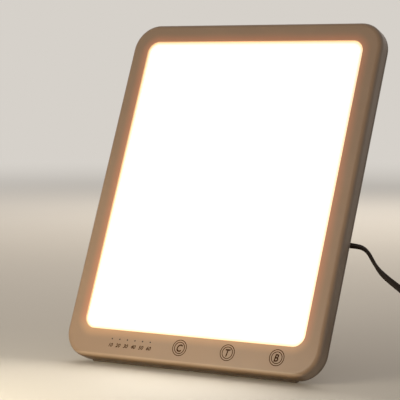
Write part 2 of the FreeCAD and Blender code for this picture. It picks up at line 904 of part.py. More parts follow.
def stand_leg():
    front = case_depth + leg_clear
    back = front + leg_thick
    tip = leg_reach() - pad_height
    plate = leg_outline(shoulder_half, leg_tip_half, neck_length, tip, front, back, 0)
    plate = plate.makeFillet(leg_corner, [
        edge for edge in corner_edges(plate, "y") if edge.BoundBox.ZMax > hinge_up - neck_length - 1
    ])
    plate = round_edges(plate, "y", back, leg_wall / 2)
    neck = block(-neck_half, neck_half, front, back, hinge_up - neck_length - leg_corner, hinge_up)
    barrel = rod(-neck_half, hinge_depth, hinge_up, ACROSS, barrel_radius, 2 * neck_half)
    neck = neck.cut(block(
        -neck_half, neck_half, front, back, hinge_up, hinge_up + barrel_radius,
    ))
    stop = case_depth + stop_gap
    heel = block(-neck_half, neck_half, stop, hinge_depth, hinge_up, hinge_up + heel_length)
    heel.rotate(point(0, hinge_depth, hinge_up), ACROSS, -(lean_angle + leg_splay))
    tongue = block(
        -pad_tongue_half, pad_tongue_half, front + (leg_thick - pad_tongue_thick) / 2,
        front + (leg_thick + pad_tongue_thick) / 2, hinge_up - tip - pad_tongue_length, hinge_up - tip,
    )
    leg = joined([plate, neck, barrel, heel, tongue])

    pocket_top = neck_length + leg_corner + leg_wall
    pocket_tip = tip - leg_wall
    span = (pocket_tip - pocket_top - leg_rib_count * leg_wall) / (leg_rib_count + 1)
    slope = (leg_tip_half - shoulder_half) / (tip - neck_length)
    for index in range(leg_rib_count + 1):
        start = pocket_top + index * (span + leg_wall)
        end = start + span
        half_start = shoulder_half + slope * (start - neck_length) - leg_wall
        half_end = shoulder_half + slope * (end - neck_length) - leg_wall
        pocket = leg_outline(
            half_start, half_end, start, end, front, front + leg_pocket_depth, leg_wall,
        )
        leg = leg.cut(pocket)
    bore = rod(
        -neck_half, hinge_depth, hinge_up, ACROSS, hinge_pin_radius + hinge_fit, 2 * neck_half,
    )
    return opened(leg.cut(bore))


def leg_foot_pad():
    """The leg's rubber shoe, its sole level with the table."""
    front = case_depth + leg_clear
    back = front + leg_thick
    start = leg_reach() - pad_height
    end = leg_reach() + leg_thick
    slope = (leg_tip_half - shoulder_half) / (start - neck_length)
    half_end = leg_tip_half + slope * (end - start)
    shoe = leg_outline(leg_tip_half + pad_lip, half_end + pad_lip, start, end, front, back + pad_lip, 0)
    tongue = block(
        -pad_tongue_half - foot_fit, pad_tongue_half + foot_fit,
        front + (leg_thick - pad_tongue_thick) / 2 - foot_fit,
        front + (leg_thick + pad_tongue_thick) / 2 + foot_fit,
        hinge_up - start - pad_tongue_length - foot_fit, hinge_up - start,
    )
    shoe = leaned(opened(shoe.cut(tongue)))
    box = shoe.BoundBox
    below = block(box.XMin - 1, box.XMax + 1, box.YMin - 1, box.YMax + 1, box.ZMin - 1, -lift())
    return unleaned(shoe.cut(below))


def hinge_pin():
    return rod(-ear_outer, hinge_depth, hinge_up, ACROSS, hinge_pin_radius, 2 * ear_outer)


# ---- Plug ------------------------------------------------------------------------------------------------
def plug_overmold():
    start = pod_outer_x + plug_gap
    body = Part.makeCone(
        plug_radius, plug_tail_radius, plug_length, point(start, jack_depth, jack_up), ACROSS,
    )
    body = body.makeFillet(plug_edge_round, edges_at(body, "x", start))
    pitch = plug_length / (plug_groove_count + 3)
    for index in range(plug_groove_count):
        x = start + pitch * (index + 2)
        ring = rod(x, jack_depth, jack_up, ACROSS, plug_radius + 1, plug_groove_width)
        core = rod(x, jack_depth, jack_up, ACROSS, plug_groove_radius, plug_groove_width)
        body = body.cut(ring.cut(core))
    socket = rod(start, jack_depth, jack_up, ACROSS, barrel_plug_radius, barrel_plug_root)
    return body.cut(socket)


def plug_barrel():
    end = pod_outer_x + plug_gap + barrel_plug_root
    start = pod_outer_x + plug_gap - barrel_plug_length
    outside = rod(start, jack_depth, jack_up, ACROSS, barrel_plug_radius, end - start)
    depth = end - start - barrel_plug_root / 2
    return outside.cut(rod(start, jack_depth, jack_up, ACROSS, barrel_plug_bore, depth))


def strain_relief(start):
    """A tapered sleeve with flex grooves, pointing to the right from its wide end's middle."""
    sleeve = Part.makeCone(
        relief_start_radius, relief_end_radius, relief_length, start, ACROSS,
    )
    pitch = relief_length / (relief_groove_count + 1)
    for index in range(relief_groove_count):
        x = start.x + pitch * (index + 1) - pitch / 3
        ring = rod(x, start.y, start.z, ACROSS, relief_start_radius + 1, pitch / 3)
        core = rod(x, start.y, start.z, ACROSS, cord_radius + relief_skin, pitch / 3)
        sleeve = sleeve.cut(ring.cut(core))
    return sleeve


def plug_relief():
    return strain_relief(point(pod_outer_x + plug_gap + plug_length, jack_depth, jack_up))


# ---- Lead ------------------------------------------------------------------------------------------------
def tube(points, radius, largest_arc=None):
    """A round tube along straight runs joined by tangent arcs, with its length and arc radii."""
    runs = [after - before for before, after in zip(points, points[1:])]
    edges = []
    radii = []
    here = points[0]
    length = 0.0
    for index in range(1, len(points) - 1):
        run_in = runs[index - 1]
        run_out = runs[index]
        turn = run_in.getAngle(run_out)
        arc_radius = 0.45 * min(run_in.Length, run_out.Length) / math.tan(turn / 2)
        if largest_arc is not None:
            arc_radius = min(arc_radius, largest_arc)
        trim = arc_radius * math.tan(turn / 2)
        way_in = run_in * (1 / run_in.Length)
        way_out = run_out * (1 / run_out.Length)
        arc_start = points[index] - way_in * trim
        arc_end = points[index] + way_out * trim
        inward = way_out - way_in
        inward.normalize()
        centre = points[index] + inward * (arc_radius / math.cos(turn / 2))
        middle = centre - inward * arc_radius
        edges.append(Part.LineSegment(here, arc_start).toShape())
        edges.append(Part.Arc(arc_start, middle, arc_end).toShape())
        length += (arc_start - here).Length + arc_radius * turn
        radii.append(arc_radius)
        here = arc_end
    edges.append(Part.LineSegment(here, points[-1]).toShape())
    length += (points[-1] - here).Length
    path = Part.Wire(edges)
    section = Part.Wire(Part.Circle(points[0], runs[0], radius).toShape())
    solid = path.makePipeShell([section], True, False)
    return solid, length, radii


def cord_exit():
    """Where the lead leaves the plug's strain relief, in the finished frame."""
    x = pod_outer_x + plug_gap + plug_length + relief_length
    y = jack_depth * math.cos(lean) + jack_up * math.sin(lean)
    z = jack_up * math.cos(lean) - jack_depth * math.sin(lean) + lift()
    return point(x, y, z)


# The lead's points after its first run, each as the step right and back from the exit and the
# height above the table: down to the table and into the coil, then from the coil to the adapter.
lead_steps = (
    (18.6, 0.0, 80.6),
    (23.6, 0.0, 71.6),
    (32.2, 0.0, 63.3),
    (44.7, 0.5, 56.5),
    (56.0, 1.0, 46.0),
    (64.0, 1.0, 32.0),
    (72.5, 0.5, 18.5),
    (83.0, 0.0, 7.5),
    (95.0, 0.0, 3.0),
    (107.0, 0.0, 4.5),
)
tail_steps = (
    (144.1, 25.3, 8.0),
    (148.9, 38.5, 6.0),
    (150.0, 53.0, 4.5),
    (146.9, 65.0, 4.5),
    (139.2, 74.2, 6.5),
    (128.3, 79.4, 9.0),
)


def lead_route(exit_point):
    start = point(exit_point.x, exit_point.y, 0)
    first = exit_point + ACROSS * first_run
    return [exit_point, first] + [start + point(*step) for step in lead_steps]


def tail_route(exit_point):
    start = point(exit_point.x, exit_point.y, 0)
    end = start + point(
        adapter_beside + adapter_length + relief_length,
        adapter_behind + adapter_width / 2, adapter_relief_up,
    )
    return [start + point(*step) for step in tail_steps] + [end]


def coil_ring(inset):
    """The bundle of turns lying on the table, as one ring of rounded-square section."""
    band = coil_rows * 2 * cord_radius + 2 * tie_wall
    inner = coil_radius - band / 2 + inset
    outer = coil_radius + band / 2 - inset
    section = block(inner, outer, 0, 1, inset, band - inset)
    section = section.makeFillet(cord_radius + tie_wall - inset, corner_edges(section, "y"))
    faces = [face for face in section.Faces if abs(face.CenterOfMass.y) < 1e-6]
    return faces[0].revolve(point(0, 0, 0), UP, 360)


def coil_pieces():
    """The coil and the tie that is let into it, about the coil's middle."""
    reach = coil_radius * 2
    across = block(-tie_width / 2, tie_width / 2, 0, reach, -1, reach)
    tie = coil_ring(0).cut(coil_ring(tie_wall)).common(across)
    return coil_ring(0).cut(tie), tie


# ---- Wall adapter ------------------------------------------------------------------------------------------
def adapter_body(inset):
    """The adapter's outside, or its inside, lying on the table with its blades towards -X."""
    body = block(
        inset, adapter_length - inset, inset, adapter_width - inset, inset, adapter_height - inset,
    )
    return body.makeFillet(adapter_round - inset, body.Edges)


def adapter_slice(x_low, x_high):
    return block(x_low, x_high, -1, adapter_width + 1, -1, adapter_height + 1)


def blade_places():
    middle = adapter_width / 2
    return [middle - blade_pitch / 2, middle + blade_pitch / 2]


def adapter_blade_blanks(fit):
    low = adapter_height / 2 - blade_height / 2 - fit
    high = adapter_height / 2 + blade_height / 2 + fit
    blanks = []
    for y in blade_places():
        half = blade_thick / 2 + fit
        blanks.append(block(-blade_length, adapter_wall + blade_root, y - half, y + half, low, high))
    return blanks


def adapter_base():
    shell = adapter_body(0).cut(adapter_body(adapter_wall))
    shell = shell.common(adapter_slice(-1, adapter_split))
    for blank in adapter_blade_blanks(screw_fit):
        shell = shell.cut(blank)
    return shell


def adapter_cover():
    shell = adapter_body(0).cut(adapter_body(adapter_wall))
    shell = shell.common(adapter_slice(adapter_split, adapter_length + 1))
    return shell


def adapter_relief():
    return strain_relief(point(adapter_length, adapter_width / 2, adapter_relief_up))


def adapter_board():
    board = block(
        adapter_wall + adapter_board_in, adapter_length - adapter_wall,
        adapter_wall, adapter_width - adapter_wall,
        adapter_board_up, adapter_board_up + board_thick,
    )
    return board.makeFillet(adapter_round, corner_edges(board, "z"))


def adapter_transformer():
    return block(
        adapter_length / 2 - transformer_half, adapter_length / 2 + transformer_half,
        adapter_width / 2 - transformer_half, adapter_width / 2 + transformer_half,
        adapter_board_up - transformer_height, adapter_board_up,
    )


# ---- Make, place and write every piece --------------------------------------------------------------------
def lamp_pieces():
    """Every piece of the lamp in the panel's frame."""
    pieces = {
        "front_frame": front_frame(),
        "gasket": gasket(),
        "diffuser_plate": diffuser_plate(),
        "light_guide": layer(guide_front, reflector_front, 0),
        "reflector_sheet": layer(reflector_front, plate_front, 0),
        "back_plate": back_plate(),
        "light_pipes": light_pipes(),
        "indicator_leds": indicator_leds(),
        "touch_pads": touch_pads(),
        "control_board": control_board(),
        "control_screws": control_screws(),
        "control_connector": control_connector(),
        "ribbon": ribbon(),
        "driver_board": driver_board(),
        "driver_screws": driver_screws(),
        "driver_chips": driver_chips(),
        "board_connectors": board_connectors(),
        "capacitors": capacitors(),
        "led_wires": led_wires(),
        "jack_body": jack_body(),
        "jack_pin": jack_pin(),
        "jack_tails": jack_tails(),
        "jack_riser": jack_riser(),
        "rear_cover": rear_cover(),
        "cover_screws": cover_screws(),
        "rubber_feet": rubber_feet(),
        "hinge_pin": hinge_pin(),
        "stand_leg": stand_leg(),
        "leg_foot_pad": leg_foot_pad(),
        "plug_overmold": plug_overmold(),
        "plug_barrel": plug_barrel(),
        "plug_relief": plug_relief(),
    }
    for side, name in ((-1, "left"), (1, "right")):
        pieces["led_bar_" + name] = led_bar(side)
        pieces["led_chips_" + name] = led_chips(side)
        pieces["heat_rail_" + name] = heat_rail(side)
    return pieces


def adapter_pieces():
    return {
        "adapter_base": adapter_base(),
        "adapter_cover": adapter_cover(),
        "adapter_blades": group(adapter_blade_blanks(0)),
        "adapter_relief": adapter_relief(),
        "adapter_board": adapter_board(),
        "adapter_transformer": adapter_transformer(),
    }


def moved(shape, step):
    shifted = shape.copy()
    shifted.translate(step)
    return shifted


def report_tube(name, solid, length, radii):
    section = math.pi * cord_radius ** 2
    share = solid.Volume / (section * length)
    print(name, "length", round(length, 1), "volume / (section x length)", round(share, 3))
    print(name, "arc radii", [round(radius, 1) for radius in radii])


placed = {name: leaned(shape) for name, shape in lamp_pieces().items()}
boxes = [placed[name].optimalBoundingBox() for name in ("front_frame", "rear_cover", "leg_foot_pad")]
middle = (min(box.YMin for box in boxes) + max(box.YMax for box in boxes)) / 2
stand_up = point(0, -middle, lift())
placed = {name: moved(shape, stand_up) for name, shape in placed.items()}

cord_start = cord_exit() + BACK * -middle
ground = point(cord_start.x, cord_start.y, 0)
coil, tie = [moved(piece, ground + point(coil_beside, coil_behind, 0)) for piece in coil_pieces()]
lead, lead_length, lead_radii = tube(lead_route(cord_start), cord_radius)
tail, tail_length, tail_radii = tube(tail_route(cord_start), cord_radius)
report_tube("lead", lead, lead_length, lead_radii)
report_tube("tail", tail, tail_length, tail_radii)
turns = coil_rows ** 2 - 1
coil_length = turns * 2 * math.pi * coil_radius
print("cord length with", turns, "turns", round(lead_length + tail_length + coil_length))
placed["cord_coil"] = coil
placed["coil_tie"] = tie
placed["cord_lead"] = lead.cut(coil)
placed["cord_tail"] = tail.cut(coil)
for name, shape in adapter_pieces().items():
    placed[name] = moved(shape, ground + point(adapter_beside, adapter_behind, 0))

hinge = leaned(Part.Vertex(0, hinge_depth, hinge_up)).Point + stand_up
print("hinge", [round(value, 3) for value in hinge], "range", round(lean_angle + leg_splay, 2))
print("cord exit", [round(value, 2) for value in cord_start])
print("panel moved back by", round(-middle, 3), "and up by", round(lift(), 3))
for name, shape in placed.items():
    if not shape.isValid():
        print("NOT VALID", name)
    shape.exportStep("parts/" + name + ".step")
print(len(placed), "pieces")
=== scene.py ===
import math

import bmesh
import bpy
from mathutils import Matrix, Vector


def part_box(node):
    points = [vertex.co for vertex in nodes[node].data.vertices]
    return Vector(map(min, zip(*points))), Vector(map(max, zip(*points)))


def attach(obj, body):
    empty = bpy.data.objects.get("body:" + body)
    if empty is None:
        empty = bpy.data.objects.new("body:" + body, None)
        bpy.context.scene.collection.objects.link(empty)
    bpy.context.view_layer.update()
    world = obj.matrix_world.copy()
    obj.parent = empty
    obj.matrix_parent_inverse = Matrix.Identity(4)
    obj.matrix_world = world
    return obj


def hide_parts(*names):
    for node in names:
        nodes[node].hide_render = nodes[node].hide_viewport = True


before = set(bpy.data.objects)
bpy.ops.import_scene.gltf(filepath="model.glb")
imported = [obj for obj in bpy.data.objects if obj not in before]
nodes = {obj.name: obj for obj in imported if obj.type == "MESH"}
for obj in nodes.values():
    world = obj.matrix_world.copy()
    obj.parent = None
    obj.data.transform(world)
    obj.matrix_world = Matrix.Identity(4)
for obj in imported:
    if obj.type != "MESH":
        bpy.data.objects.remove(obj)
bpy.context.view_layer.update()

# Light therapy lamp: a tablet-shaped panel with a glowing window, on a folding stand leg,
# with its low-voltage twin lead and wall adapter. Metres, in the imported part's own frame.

MM = 0.001


# ---------------------------------------------------------------- camera

LENS = 162                   # millimetres, for Blender's own sensor, which is 36 mm wide
VIEW_TURN = math.radians(32.692)     # how far round to the right of the object's front
VIEW_RISE = math.radians(4.293)      # how far above the level of the target
VIEW_DISTANCE = 1.224
VIEW_TARGET = Vector((-0.0236, -0.0001, 0.1088))
CLIP_START = 0.05


def add_camera():
    """The camera, where it stood for the photo as the window's edges tell."""
    data = bpy.data.cameras.new("camera")
    data.lens = LENS
    data.clip_start = CLIP_START
    camera = bpy.data.objects.new("camera", data)
    bpy.context.scene.collection.objects.link(camera)
    level = math.cos(VIEW_RISE)
    away = Vector((math.sin(VIEW_TURN) * level, -math.cos(VIEW_TURN) * level, math.sin(VIEW_RISE)))
    camera.location = VIEW_TARGET + away * VIEW_DISTANCE
    camera.rotation_euler = away.to_track_quat("Z", "Y").to_euler()
    bpy.context.scene.camera = camera


# ---------------------------------------------------------------- mesh helpers

SHARP_ANGLE = math.radians(35)


def new_object(name, mesh):
    made = bpy.data.objects.new(name, mesh)
    bpy.context.scene.collection.objects.link(made)
    return made


def mesh_object(name, points, faces):
    """An object of flat faces; finish_mesh makes them smooth."""
    mesh = bpy.data.meshes.new(name)
    mesh.from_pydata([tuple(p) for p in points], [], faces)
    mesh.validate()
    return new_object(name, mesh)


def finish_mesh(made, sharp_angle=SHARP_ANGLE):
    """Outward normals and smooth faces, with the edges that bend more than sharp_angle kept sharp."""
    work = bmesh.new()
    work.from_mesh(made.data)
    bmesh.ops.recalc_face_normals(work, faces=work.faces)
    for edge in work.edges:
        edge.smooth = len(edge.link_faces) == 2 and edge.calc_face_angle(0) < sharp_angle
    for face in work.faces:
        face.smooth = True
    work.to_mesh(made.data)
    work.free()
    return made


def loft(sections, closed=False):
    """Points and faces of a skin over rings of equally many points: capped at both ends, or closed
    from the last ring to the first."""
    count = len(sections[0])
    points = [point for section in sections for point in section]
    faces = []
    spans = len(sections) if closed else len(sections) - 1
    for row in range(spans):
        near = row * count
        far = (row + 1) % len(sections) * count
        for i in range(count):
            j = (i + 1) % count
            faces.append((near + i, near + j, far + j, far + i))
    if not closed:
        faces.append(tuple(range(count))[::-1])
        faces.append(tuple(range(len(points) - count, len(points))))
    return points, faces


def dress(made, body, slot, surface, *replaced):
    """The piece rides on its body, takes its material, and stands for the nodes it replaces."""
    made.data.materials.clear()
    made.data.materials.append(surface)
    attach(made, body)
    if replaced:
        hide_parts(*replaced)


# ---------------------------------------------------------------- material helpers


def srgb(red, green, blue):
    """A colour given as it shows on screen, 0 to 255, in the linear values that Blender takes,
    by the sRGB standard's curve."""
    def linear(value):
        share = value / 255
        return share / 12.92 if share <= 0.04045 else ((share + 0.055) / 1.055) ** 2.4
    return (linear(red), linear(green), linear(blue), 1.0)


def shade(colour, factor):
    return (colour[0] * factor, colour[1] * factor, colour[2] * factor, 1.0)


def new_surface(name, colour, roughness, metallic=0.0):
    """A material and its shader, with the values that are the same all over set on the shader."""
    made = bpy.data.materials.new(name)
    made.use_nodes = True
    made.diffuse_color = colour
    shader = made.node_tree.nodes["Principled BSDF"]
    shader.inputs["Base Color"].default_value = colour
    shader.inputs["Roughness"].default_value = roughness
    shader.inputs["Metallic"].default_value = metallic
    return made, shader


def add_node(tree, kind, **settings):
    made = tree.nodes.new(kind)
    for key, value in settings.items():
        setattr(made, key, value)
    return made


def place_socket(tree):
    """The row frame's coordinates of the point that is shaded."""
    return add_node(tree, "ShaderNodeTexCoord").outputs["Object"]


def noise(tree, scale, detail, stretch=None):
    """A noise value from 0 to 1, with scale in cycles a metre; stretch scales the axes."""
    place = place_socket(tree)
    if stretch:
        mapping = add_node(tree, "ShaderNodeMapping")
        mapping.inputs["Scale"].default_value = stretch
        tree.links.new(place, mapping.inputs["Vector"])
        place = mapping.outputs["Vector"]
    made = add_node(tree, "ShaderNodeTexNoise")
    made.inputs["Scale"].default_value = scale
    made.inputs["Detail"].default_value = detail
    tree.links.new(place, made.inputs["Vector"])
    return made.outputs["Fac"]


def cells(tree, scale, feature="F1"):
    """A pattern of cells, scale of them a metre: the distance from the middle of a cell, or from its
    edge where the feature says so, as a share of the cell's usual width."""
    made = add_node(tree, "ShaderNodeTexVoronoi", feature=feature)
    made.inputs["Scale"].default_value = scale
    tree.links.new(place_socket(tree), made.inputs["Vector"])
    return made.outputs["Distance"]


def math_node(tree, operation, first, second=None):
    """The result of an operation on one or two values, each a number or a socket."""
    made = add_node(tree, "ShaderNodeMath", operation=operation)
    for socket, value in zip(made.inputs, (first, second)):
        if value is None:
            continue
        if isinstance(value, (int, float)):
            socket.default_value = value
        else:
            tree.links.new(value, socket)
    return made.outputs[0]


def ranged(tree, value, low, high, to_low, to_high, smooth=False):
    """value's run from low to high, carried to the run from to_low to to_high and held past it."""
    made = add_node(tree, "ShaderNodeMapRange")
    if smooth:
        made.interpolation_type = "SMOOTHSTEP"
    made.inputs["From Min"].default_value = low
    made.inputs["From Max"].default_value = high
    made.inputs["To Min"].default_value = to_low
    made.inputs["To Max"].default_value = to_high
    tree.links.new(value, made.inputs["Value"])
    return made.outputs["Result"]


def fading(tree, value, start, run, to_low, to_high):
    """value's smooth run from to_low to to_high over a run of distances counted from start."""
    return ranged(tree, value, start + run[0], start + run[1], to_low, to_high, smooth=True)


def spread(tree, value, to_low=0, to_high=1):
    """Noise, which seldom leaves its middle values, carried to the whole run from to_low to to_high."""
    return ranged(tree, value, 0.3, 0.7, to_low, to_high)


def clouds(tree, scale, detail, to_low=0, to_high=1):
    """Soft spots that run from to_low to to_high."""
    return spread(tree, noise(tree, scale, detail), to_low, to_high)


def mixed(tree, factor, first, second):
    """Two colours mixed by factor; each is a colour or another colour socket."""
    made = add_node(tree, "ShaderNodeMix", data_type="RGBA")
    sockets = [s for s in made.inputs if s.type == "RGBA"]
    tree.links.new(factor, made.inputs["Factor"])
    for socket, value in zip(sockets, (first, second)):
        if isinstance(value, tuple):
            socket.default_value = value
        else:
            tree.links.new(value, socket)
    return [s for s in made.outputs if s.type == "RGBA"][0]


def bumped(tree, shader, height, depth, before=None):
    """Relief of the given depth in metres, laid over the relief given as before."""
    made = add_node(tree, "ShaderNodeBump")
    made.inputs["Distance"].default_value = depth
    tree.links.new(height, made.inputs["Height"])
    if before is not None:
        tree.links.new(before, made.inputs["Normal"])
    tree.links.new(made.outputs["Normal"], shader.inputs["Normal"])
    return made.outputs["Normal"]


def moulded(name, colour, roughness, grain=0.0, grain_scale=2600, mottle=0.05, shine=0.5):
    """Moulded plastic: faint mottling, uneven gloss, slow waviness and a fine tool grain."""
    made, shader = new_surface(name, colour, roughness)
    tree = made.node_tree
    spots = clouds(tree, scale=28, detail=4)
    tint = mixed(tree, spots, shade(colour, 1 - mottle), shade(colour, 1 + mottle))
    tree.links.new(tint, shader.inputs["Base Color"])
    gloss = clouds(tree, scale=90, detail=3, to_low=roughness - 0.04, to_high=roughness + 0.05)
    tree.links.new(gloss, shader.inputs["Roughness"])
    wave = bumped(tree, shader, noise(tree, scale=60, detail=2), depth=0.03 * MM)
    if grain:
        bumped(tree, shader, cells(tree, grain_scale), depth=grain, before=wave)
    shader.inputs["Specular IOR Level"].default_value = shine
    return made


def sheet_metal(name, colour, roughness, along=(1, 1, 14)):
    """Metal with fine lines along one way."""
    made, shader = new_surface(name, colour, roughness, metallic=1.0)
    tree = made.node_tree
    lines = noise(tree, scale=900, detail=4, stretch=along)
    gloss = spread(tree, lines, roughness - 0.08, roughness + 0.1)
    tree.links.new(gloss, shader.inputs["Roughness"])
    tint = mixed(tree, spread(tree, lines), shade(colour, 0.92), colour)
    tree.links.new(tint, shader.inputs["Base Color"])
    bumped(tree, shader, lines, depth=0.004 * MM)
    return made


# ---------------------------------------------------------------- lead

LEAD_WIDTH = 4.6 * MM
STRAND_RADIUS = 1.2 * MM
LEAD_EXIT = (0.0888, -0.00298, 0.08437)
LEAD_SHARP_ANGLE = math.radians(80)
STRAND_STEPS = 10            # points round each strand
STRAND_OPEN = math.radians(150)   # half of each strand's round part; the web starts past it
LINE_STEPS = 7               # points of the lead's line for each of its control points

# Control points from the strain relief on the plug to the coil.
LEAD_ROUTE = [
    LEAD_EXIT,
    (0.0941, -0.00298, 0.08437),
    (0.1050, -0.00298, 0.0831),
    (0.1116, -0.00298, 0.0721),
    (0.1185, -0.00298, 0.0653),
    (0.1324, -0.00248, 0.0564),
    (0.1448, -0.00198, 0.0460),
    (0.1528, -0.00198, 0.0320),
    (0.1613, -0.00248, 0.0185),
    (0.1718, -0.00298, 0.0075),
    (0.1838, -0.00398, 0.0030),
    (0.1948, -0.00498, 0.0027),
]
# Control points from the coil to the adapter's strain relief.
TAIL_ROUTE = [
    (0.2377, 0.03552, 0.0070),
    (0.2388, 0.05002, 0.0045),
    (0.2357, 0.06202, 0.0045),
    (0.2280, 0.07122, 0.0065),
    (0.2171, 0.07642, 0.0090),
    (0.2061, 0.07642, 0.0090),
]
COIL_CENTRE = Vector((0.2048, 0.02402, 0))
COIL_RADII = [20.4 * MM, 25.0 * MM, 29.6 * MM]
COIL_HEIGHTS = [2.6 * MM, 7.3 * MM, 11.9 * MM]
# Each turn's place in the winding, as (step out from the middle, step up from the floor).
COIL_TURNS = [(2, 0), (1, 0), (0, 0), (0, 1), (1, 1), (2, 1), (1, 2), (2, 2)]
COIL_POINTS = 14
COIL_ENTRY = math.radians(-90)
COIL_LAST_STEPS = 3          # points that the lead still follows past its last whole turn
COIL_SHIFT_FROM = 0.78       # share of a turn after which the lead moves over to the next turn

# How the flat lead is turned about its own line: distance from the exit and angle,
# where 0 is with its flat side towards the front.
LEAD_TWIST = [(0.0, 124), (0.012, 100), (0.018, 68), (0.028, 64), (0.038, 110), (0.048, 125), (0.143, 180)]


def coil_route():
    """Control points of the wound turns, and of the first part of the turn that leaves them."""
    points = []
    spread = 1 / math.cos(math.pi / COIL_POINTS)
    total = COIL_POINTS * len(COIL_TURNS) + COIL_LAST_STEPS
    for step in range(1, total + 1):
        turn, place = divmod(step, COIL_POINTS)
        here = COIL_TURNS[min(turn, len(COIL_TURNS) - 1)]
        after = COIL_TURNS[min(turn + 1, len(COIL_TURNS) - 1)]
        share = max(0.0, (place / COIL_POINTS - COIL_SHIFT_FROM) / (1 - COIL_SHIFT_FROM))
        radius = COIL_RADII[here[0]] * (1 - share) + COIL_RADII[after[0]] * share
        height = COIL_HEIGHTS[here[1]] * (1 - share) + COIL_HEIGHTS[after[1]] * share
        angle = COIL_ENTRY + step * math.tau / COIL_POINTS
        out = Vector((math.cos(angle), math.sin(angle), 0))
        points.append(COIL_CENTRE + out * radius * spread + Vector((0, 0, height)))
    return points


def smooth_line(route):
    """Points along the smooth line that the route's control points steer."""
    data = bpy.data.curves.new("lead_line", "CURVE")
    data.dimensions = "3D"
    spline = data.splines.new("NURBS")
    spline.points.add(len(route) - 1)
    for point, place in zip(spline.points, route):
        point.co = (*place, 1)
    spline.order_u = 3
    spline.use_endpoint_u = True
    spline.resolution_u = LINE_STEPS
    line = new_object("lead_line", data)
    bpy.context.view_layer.update()
    mesh = bpy.data.meshes.new_from_object(line)
    points = [vertex.co.copy() for vertex in mesh.vertices]
    bpy.data.objects.remove(line)
    bpy.data.meshes.remove(mesh)
    return points


def twist_at(distance):
    """The flat lead's turn about its line, which stays as at the coil from there on."""
    for (start, first), (end, last) in zip(LEAD_TWIST, LEAD_TWIST[1:]):
        if distance < end:
            return math.radians(first + (last - first) * (distance - start) / (end - start))
    return math.radians(LEAD_TWIST[-1][1])


def twin_outline():
    """The lead's section: two round strands side by side, joined by a thin web."""
    middle = LEAD_WIDTH / 2 - STRAND_RADIUS
    outline = []
    for side in (1, -1):
        for i in range(STRAND_STEPS + 1):
            angle = -STRAND_OPEN + 2 * STRAND_OPEN * i / STRAND_STEPS
            wide = middle + STRAND_RADIUS * math.cos(angle)
            outline.append((side * wide, side * STRAND_RADIUS * math.sin(angle)))
    return outline


def add_lead():
    """The twin lead as one skin along its line, and that line."""
    line = smooth_line(LEAD_ROUTE + coil_route() + TAIL_ROUTE)
    outline = twin_outline()
    sections = []
    distance = 0.0
    for i, place in enumerate(line):
        before = line[max(0, i - 1)]
        after = line[min(len(line) - 1, i + 1)]
        along = (after - before).normalized()
        level = along.cross(Vector((0, 0, 1))).normalized()
        upright = level.cross(along)
        distance += (place - before).length
        turn = twist_at(distance)
        wide = upright * math.cos(turn) + level * math.sin(turn)
        thin = along.cross(wide)
        sections.append([place + wide * a + thin * b for a, b in outline])
    points, faces = loft(sections)
    lead = finish_mesh(mesh_object("twin_lead", points, faces), LEAD_SHARP_ANGLE)
    dress(lead, "cord_set", "cord_plastic", surfaces["cord_plastic"], "cord_lead", "cord_coil", "cord_tail")
    return lead, line


STRAP_CORNER = 2.9 * MM      # outer radius of the strap where it turns round the coil
STRAP_THICK = 0.55 * MM
STRAP_CROWN = 0.12 * MM      # how much its middle stands out over its two edges
STRAP_STEPS = 5


def strap_band(reach_y, reach_z, inset):
    """A rounded rectangle round the coil's section, that far inside the strap's outer side."""
    places = []
    for quarter in range(4):
        turn = quarter * math.pi / 2
        sign_y = 1 if quarter in (0, 3) else -1
        sign_z = 1 if quarter in (0, 1) else -1
        for i in range(STRAP_STEPS + 1):
            angle = turn + math.pi / 2 * i / STRAP_STEPS
            y = sign_y * (reach_y - STRAP_CORNER) + (STRAP_CORNER - inset) * math.cos(angle)
            z = sign_z * (reach_z - STRAP_CORNER) + (STRAP_CORNER - inset) * math.sin(angle)
            places.append((y, z))
    return places


def add_strap():
    """The flat strap that holds the coil: a closed band round its section, crowned on its outside."""
    low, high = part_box("coil_tie")
    middle = (low + high) / 2
    reach_y = (high.y - low.y) / 2
    reach_z = (high.z - low.z) / 2
    edge_y = 1 - STRAP_CROWN / reach_y
    edge_z = 1 - STRAP_CROWN / reach_z
    outside = strap_band(reach_y, reach_z, 0)
    inside = strap_band(reach_y, reach_z, STRAP_THICK)
    sections = []
    for (outer_y, outer_z), (inner_y, inner_z) in zip(outside, inside):
        sections.append([
            (low.x, middle.y + inner_y, middle.z + inner_z),
            (high.x, middle.y + inner_y, middle.z + inner_z),
            (high.x, middle.y + outer_y * edge_y, middle.z + outer_z * edge_z),
            (middle.x, middle.y + outer_y, middle.z + outer_z),
            (low.x, middle.y + outer_y * edge_y, middle.z + outer_z * edge_z),
        ])
    points, faces = loft(sections, closed=True)
    strap = finish_mesh(mesh_object("coil_strap", points, faces))
    dress(strap, "cord_set", "tie_plastic", surfaces["tie_plastic"], "coil_tie")


# ---------------------------------------------------------------- the panel's own frame

LEAN = math.radians(22.7)
BACKWARD = Vector((0, math.cos(LEAN), -math.sin(LEAN)))
UPWARD = Vector((0, math.sin(LEAN), math.cos(LEAN)))
WINDOW_WIDTH = 170 * MM
WINDOW_HEIGHT = 209 * MM
WINDOW_CORNER = 8 * MM
BOTTOM_BORDER = 20 * MM


def panel_corner():
    """The middle of the panel's bottom edge, in the plane of its front face."""
    places = [vertex.co for vertex in nodes["front_frame"].data.vertices]
    depth = min(place.dot(BACKWARD) for place in places)
    height = min(place.dot(UPWARD) for place in places)
    return BACKWARD * depth + UPWARD * height


PANEL_ORIGIN = panel_corner()


def on_panel(across, up, depth=0.0):
    """A place given in the panel's own frame: across and up its face, and behind it."""
    return PANEL_ORIGIN + Vector((across, 0, 0)) + UPWARD * up + BACKWARD * depth


